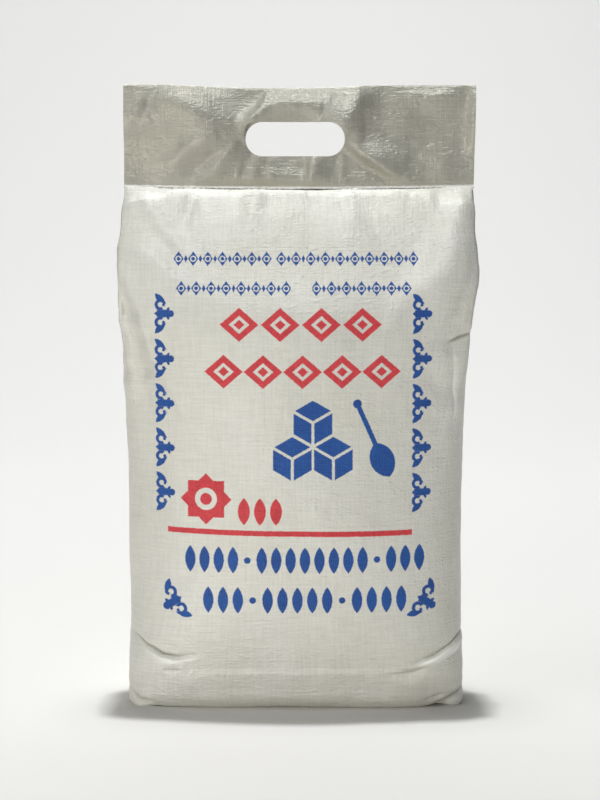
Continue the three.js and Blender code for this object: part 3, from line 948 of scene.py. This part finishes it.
# A painted shadow along the foot of the cut edge.
shade = header_bench.between(fray, 0.0013, 0.0010, 0.0, 0.9)
header_colour = header_bench.blend(weld, header_colour, paint(252, 251, 247))
header_colour = header_bench.blend(shade, header_colour, paint(96, 92, 80))
header_bench.feed(header_shader.inputs["Base Color"], header_colour)
header.data.materials.append(empty)
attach(header, "root")
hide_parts("header_panel", "header_flap")


# ---- the studio ----
# A white sheet of card that sweeps up behind the sack, in a pale room. Soft lamps stand high in
# front and behind, at the left, and low at the foot of the sack, and a far one lights the card.
CARD_SIZE = 8
CARD_AT = -1.0
CARD_BEND_FROM = 2.9
CARD_RISE = 5
CARD_BEND = 1.6

drop_all()
bpy.ops.mesh.primitive_plane_add(size=CARD_SIZE, location=(0, CARD_AT, 0))
sweep = bpy.context.object
sweep.name = "sweep"
bpy.ops.object.transform_apply(location=True)
open_up(sweep)
pick(sweep, "EDGE", lambda e: all(v.co.y > CARD_BEND_FROM for v in e.verts))
bpy.ops.mesh.extrude_region_move(TRANSFORM_OT_translate={"value": (0, 0, CARD_RISE)})
pick(sweep, "EDGE", lambda e: all(v.co.y > CARD_BEND_FROM and v.co.z < 0.1 for v in e.verts))
bpy.ops.mesh.bevel(offset=CARD_BEND, segments=24)
take(sweep)
bpy.ops.object.shade_smooth()
card = bpy.data.materials.new("card")
card.use_nodes = True
card_shader = card.node_tree.nodes["Principled BSDF"]
card_bench = Bench(card.node_tree)
card_place = card_bench.node("TexCoord").outputs["Object"]
depth = card_bench.node("SeparateXYZ", card_place).outputs[1]
card_bench.feed(card_shader.inputs["Base Color"], card_bench.blend(
    card_bench.between(depth, 0.2, 2.2), paint(250, 250, 248), paint(250, 250, 249)
))
card_shader.inputs["Roughness"].default_value = 0.9
card_shader.inputs["Specular IOR Level"].default_value = 0.1
sweep.data.materials.append(card)


SKY_TINT = (0.94, 0.975, 1)
WARM_TINT = (1, 0.97, 0.90)


def soft_lamp(name, place, target, size, power, tint=(1, 1, 1), width=None):
    """A lamp at a place, turned to a target, as high as its size and as wide or wider."""
    lamp = bpy.data.lights.new(name, "AREA")
    lamp.color = tint
    lamp.shape = "RECTANGLE"
    lamp.size = width or size
    lamp.size_y = size
    lamp.energy = power
    stand = bpy.data.objects.new(name, lamp)
    stand.location = place
    stand.rotation_euler = (Vector(target) - Vector(place)).to_track_quat("-Z", "Y").to_euler()
    scene.collection.objects.link(stand)
    return stand


overhead = soft_lamp("overhead", (-0.02, 0.26, 2.2), (0, 0, 0.2), 0.4, 8)
floor_lamp = soft_lamp("floor_lamp", (0.0, 0.66, 5.5), (0, 0, 0), 0.25, 153)
key = soft_lamp("key", (-0.05, -1.0, 1.9), (0, 0, 0.3), 0.7, 15.5, SKY_TINT, width=1.5)
rim = soft_lamp("rim", (-0.1, 1.3, 1.75), (0, 0, 0.4), 0.9, 12, SKY_TINT)
soft_lamp("side", (-1.7, -0.7, 1.5), (0, 0, 0.25), 1.2, 6)
soft_lamp("front", (-0.9, -1.9, 0.25), (0, 0, 0), 0.8, 8.5, WARM_TINT)
foot = soft_lamp("foot", (-0.12, -0.5, 0.035), (0, 0, 0.05), 0.05, 0.24, WARM_TINT, width=0.6)
soft_lamp("backdrop", (0, 1.4, 2.4), (0, 4.0, 0.8), 2.0, 10)


def shine_on(lamp, *pieces):
    """Flags off a lamp, so that it reaches only these pieces."""
    lit = bpy.data.collections.new(lamp.name + "_lit")
    for piece in pieces:
        lit.objects.link(piece)
    lamp.light_linking.receiver_collection = lit


shine_on(floor_lamp, sweep)
shine_on(key, sack_skin, header)
shine_on(rim, sack_skin, header)
shine_on(foot, sack_skin)

# The empty cloth of the header is thin, and lets the lamps behind it through to the shoulder.
thin = bpy.data.collections.new("thin_cloth")
thin.objects.link(header)
overhead.light_linking.blocker_collection = thin
rim.light_linking.blocker_collection = thin
thin.collection_objects[0].light_linking.link_state = "EXCLUDE"

# The room is pale to look at, but most of the light on the sack comes from the lamps.
ROOM_LIGHT, ROOM_SEEN = 0.05, 0.86
world = bpy.data.worlds.new("room")
world.use_nodes = True
room_bench = Bench(world.node_tree)
seen = room_bench.node("LightPath").outputs["Is Camera Ray"]
room = world.node_tree.nodes["Background"]
room.inputs["Color"].default_value = paint(250, 250, 248)
room_bench.feed(room.inputs["Strength"], room_bench.between(seen, 0.0, 1.0, ROOM_LIGHT, ROOM_SEEN))
scene.world = world
